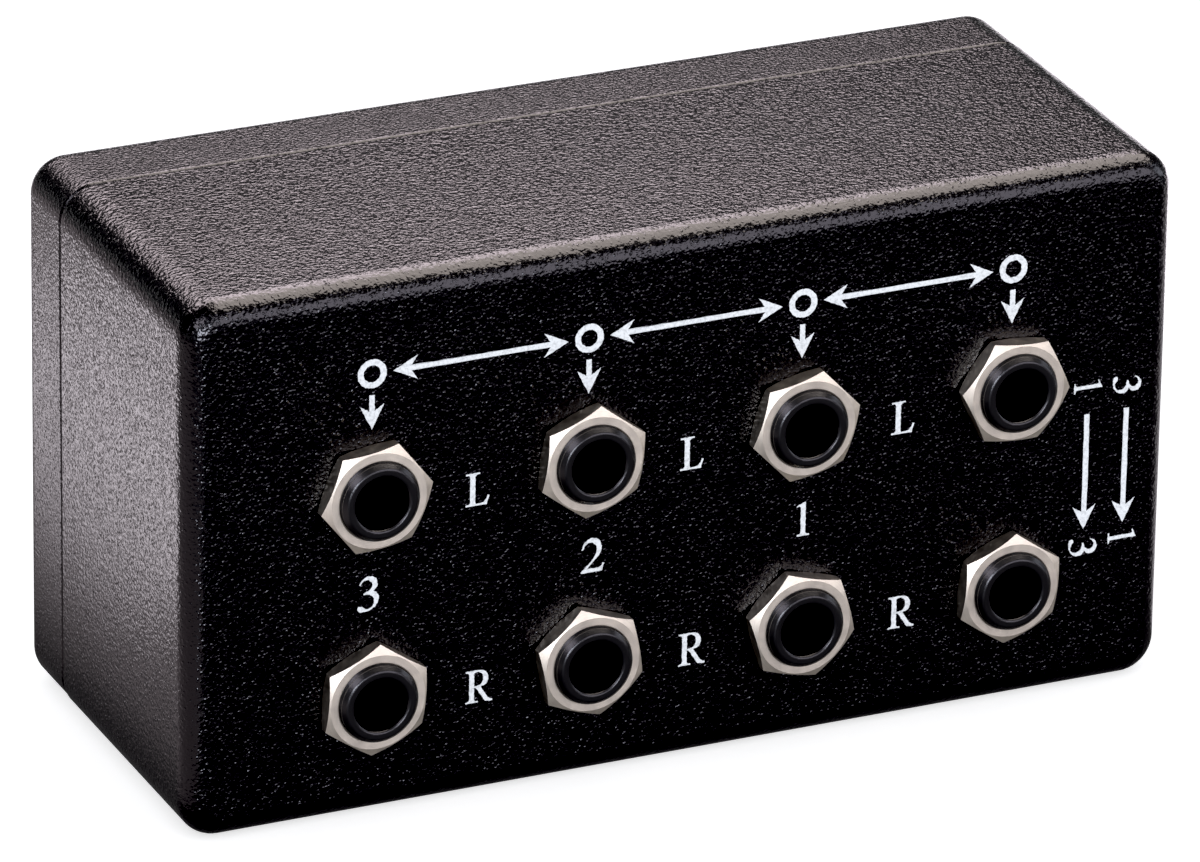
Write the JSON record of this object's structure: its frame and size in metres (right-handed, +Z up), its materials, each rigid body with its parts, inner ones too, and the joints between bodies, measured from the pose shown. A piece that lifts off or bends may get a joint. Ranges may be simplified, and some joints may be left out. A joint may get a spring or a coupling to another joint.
{
  "type": "line level selector",
  "caption": "Small black passive box that switches stereo lines between jack pairs, with quarter inch jacks on the front and a rotary selector knob on the lid.",
  "frame": {"origin": "centre of the underside that the box stands on, halfway between jack face and lid face", "axes": "+X to the right seen from the jack face, +Y from the jack face to the lid, +Z up"},
  "size_m": [0.124, 0.0687, 0.0665],
  "materials": {
    "textured_black_abs": "leather grained black ABS",
    "smooth_black_nylon": "smooth moulded black nylon",
    "nickel_plate": "nickel plated, turned marks",
    "silvered_spring": "silvered spring metal",
    "black_zinc_steel": "black zinc plated steel",
    "board_green": "green solder resist",
    "zinc_die_cast": "zinc casting, as cast",
    "brown_phenolic": "brown phenolic board",
    "white_acetal": "white acetal",
    "turned_aluminium": "turned aluminium",
    "bright_steel": "polished steel",
    "zinc_plate": "zinc plated steel",
    "satin_black_knob": "satin black phenolic",
    "white_inlay": "white inlay paint"
  },
  "bodies": {
    "root": {"case_shell": "textured_black_abs", "case_lid": "textured_black_abs", "lid_screws": "black_zinc_steel", "circuit_board": "board_green", "jack_body_3_right": "smooth_black_nylon", "jack_nut_3_right": "nickel_plate", "tip_spring_3_right": "silvered_spring", "ring_spring_3_right": "silvered_spring", "sleeve_contact_3_right": "silvered_spring", "jack_body_3_left": "smooth_black_nylon", "jack_nut_3_left": "nickel_plate", "tip_spring_3_left": "silvered_spring", "ring_spring_3_left": "silvered_spring", "sleeve_contact_3_left": "silvered_spring", "jack_body_2_right": "smooth_black_nylon", "jack_nut_2_right": "nickel_plate", "tip_spring_2_right": "silvered_spring", "ring_spring_2_right": "silvered_spring", "sleeve_contact_2_right": "silvered_spring", "jack_body_2_left": "smooth_black_nylon", "jack_nut_2_left": "nickel_plate", "tip_spring_2_left": "silvered_spring", "ring_spring_2_left": "silvered_spring", "sleeve_contact_2_left": "silvered_spring", "jack_body_1_right": "smooth_black_nylon", "jack_nut_1_right": "nickel_plate", "tip_spring_1_right": "silvered_spring", "ring_spring_1_right": "silvered_spring", "sleeve_contact_1_right": "silvered_spring", "jack_body_1_left": "smooth_black_nylon", "jack_nut_1_left": "nickel_plate", "tip_spring_1_left": "silvered_spring", "ring_spring_1_left": "silvered_spring", "sleeve_contact_1_left": "silvered_spring", "jack_body_common_right": "smooth_black_nylon", "jack_nut_common_right": "nickel_plate", "tip_spring_common_right": "silvered_spring", "ring_spring_common_right": "silvered_spring", "sleeve_contact_common_right": "silvered_spring", "jack_body_common_left": "smooth_black_nylon", "jack_nut_common_left": "nickel_plate", "tip_spring_common_left": "silvered_spring", "ring_spring_common_left": "silvered_spring", "sleeve_contact_common_left": "silvered_spring", "switch_body": "zinc_die_cast", "switch_wafer": "brown_phenolic", "switch_contacts": "silvered_spring", "switch_commons": "silvered_spring", "stop_ring": "zinc_plate", "lock_washer": "zinc_plate", "switch_nut": "nickel_plate"},
    "selector": {"switch_rotor": "white_acetal", "switch_wipers": "silvered_spring", "switch_shaft": "turned_aluminium", "detent_balls": "bright_steel", "detent_springs": "bright_steel", "knob": "satin_black_knob", "knob_index": "white_inlay", "knob_grub_screw": "black_zinc_steel"}
  },
  "joints": [
    {"name": "selector_turn", "type": "hinge", "parent": "root", "child": "selector", "pos_m": [0, 0.02525, 0.03325], "axis": [0, 1, 0], "range_deg": [-30, 30]}
  ]
}
